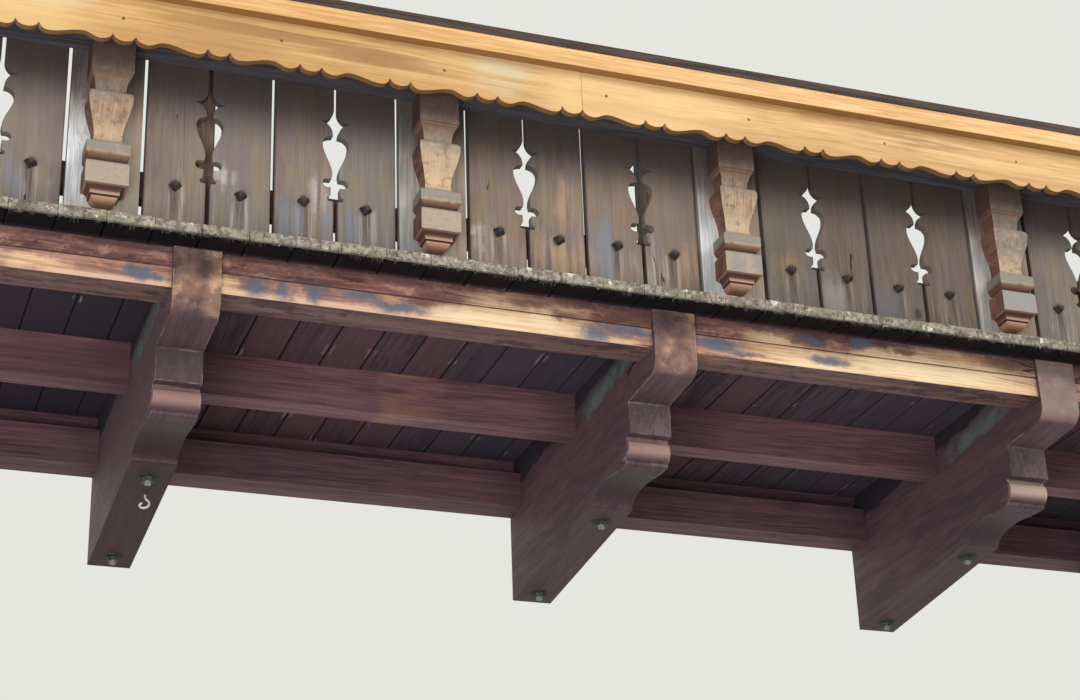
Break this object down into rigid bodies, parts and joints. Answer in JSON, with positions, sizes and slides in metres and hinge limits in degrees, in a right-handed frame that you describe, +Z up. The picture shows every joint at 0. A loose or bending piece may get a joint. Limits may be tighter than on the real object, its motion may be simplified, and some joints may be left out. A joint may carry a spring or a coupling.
{
  "type": "carved timber balcony",
  "caption": "Timber balcony on carved wall brackets, with a railing of pierced boards and carved half-posts, a plank deck and a scalloped flower box along its front.",
  "frame": {"origin": "middle of the flat wall face of the middle bracket", "axes": "+X along the wall to the right as seen from outside, +Y into the wall, +Z up"},
  "size_m": [5.995, 1.679, 1.548],
  "materials": {
    "bracket_timber": "dark red-brown stain, worn and cracked",
    "edge_timber": "red-brown stain, peeled to bare honey wood in long patches",
    "joist_timber": "dark red-brown stain",
    "wall_timber": "dark red-brown stain",
    "deck_wood": "weathered, pale lichen on the front ends, dark stain below",
    "frame_wood": "weathered brown",
    "handrail_wood": "dark brown stain, worn on top",
    "board_wood": "weathered grey-brown, raised grain",
    "backing_wood": "weathered grey, raised grain",
    "carved_wood": "worn tan brown, darker in the grooves",
    "apron_wood": "honey varnish, worn grey in patches",
    "strip_wood": "honey varnish",
    "box_wood": "dark weathered",
    "rim_wood": "dark brown"
  },
  "bodies": {
    "root": {"bracket_1": "bracket_timber", "bracket_2": "bracket_timber", "bracket_3": "bracket_timber", "bracket_4": "bracket_timber", "bracket_5": "bracket_timber", "edge_beam": "edge_timber", "middle_joist": "joist_timber", "wall_beam": "wall_timber", "wall_packing": "wall_timber", "deck_boards": "deck_wood", "railing_posts": "frame_wood", "lower_rails": "frame_wood", "upper_rails": "frame_wood", "handrail_front": "handrail_wood", "handrail_left": "handrail_wood", "handrail_right": "handrail_wood", "pierced_boards_1": "board_wood", "pierced_boards_2": "board_wood", "pierced_boards_3": "board_wood", "pierced_boards_4": "board_wood", "pierced_boards_5": "board_wood", "backing_boards": "backing_wood", "carved_post_1": "carved_wood", "carved_post_2": "carved_wood", "carved_post_3": "carved_wood", "carved_post_4": "carved_wood", "carved_post_5": "carved_wood", "carved_post_6": "carved_wood", "side_boards_left": "board_wood", "side_boards_right": "board_wood", "side_backing_left": "backing_wood", "side_backing_right": "backing_wood", "side_posts_left": "carved_wood", "side_posts_right": "carved_wood", "apron_left": "apron_wood", "apron_right": "apron_wood", "box_strip": "strip_wood", "box_bottom": "box_wood", "box_back": "box_wood", "box_ends": "strip_wood", "box_rim": "rim_wood"}
  },
  "joints": []
}
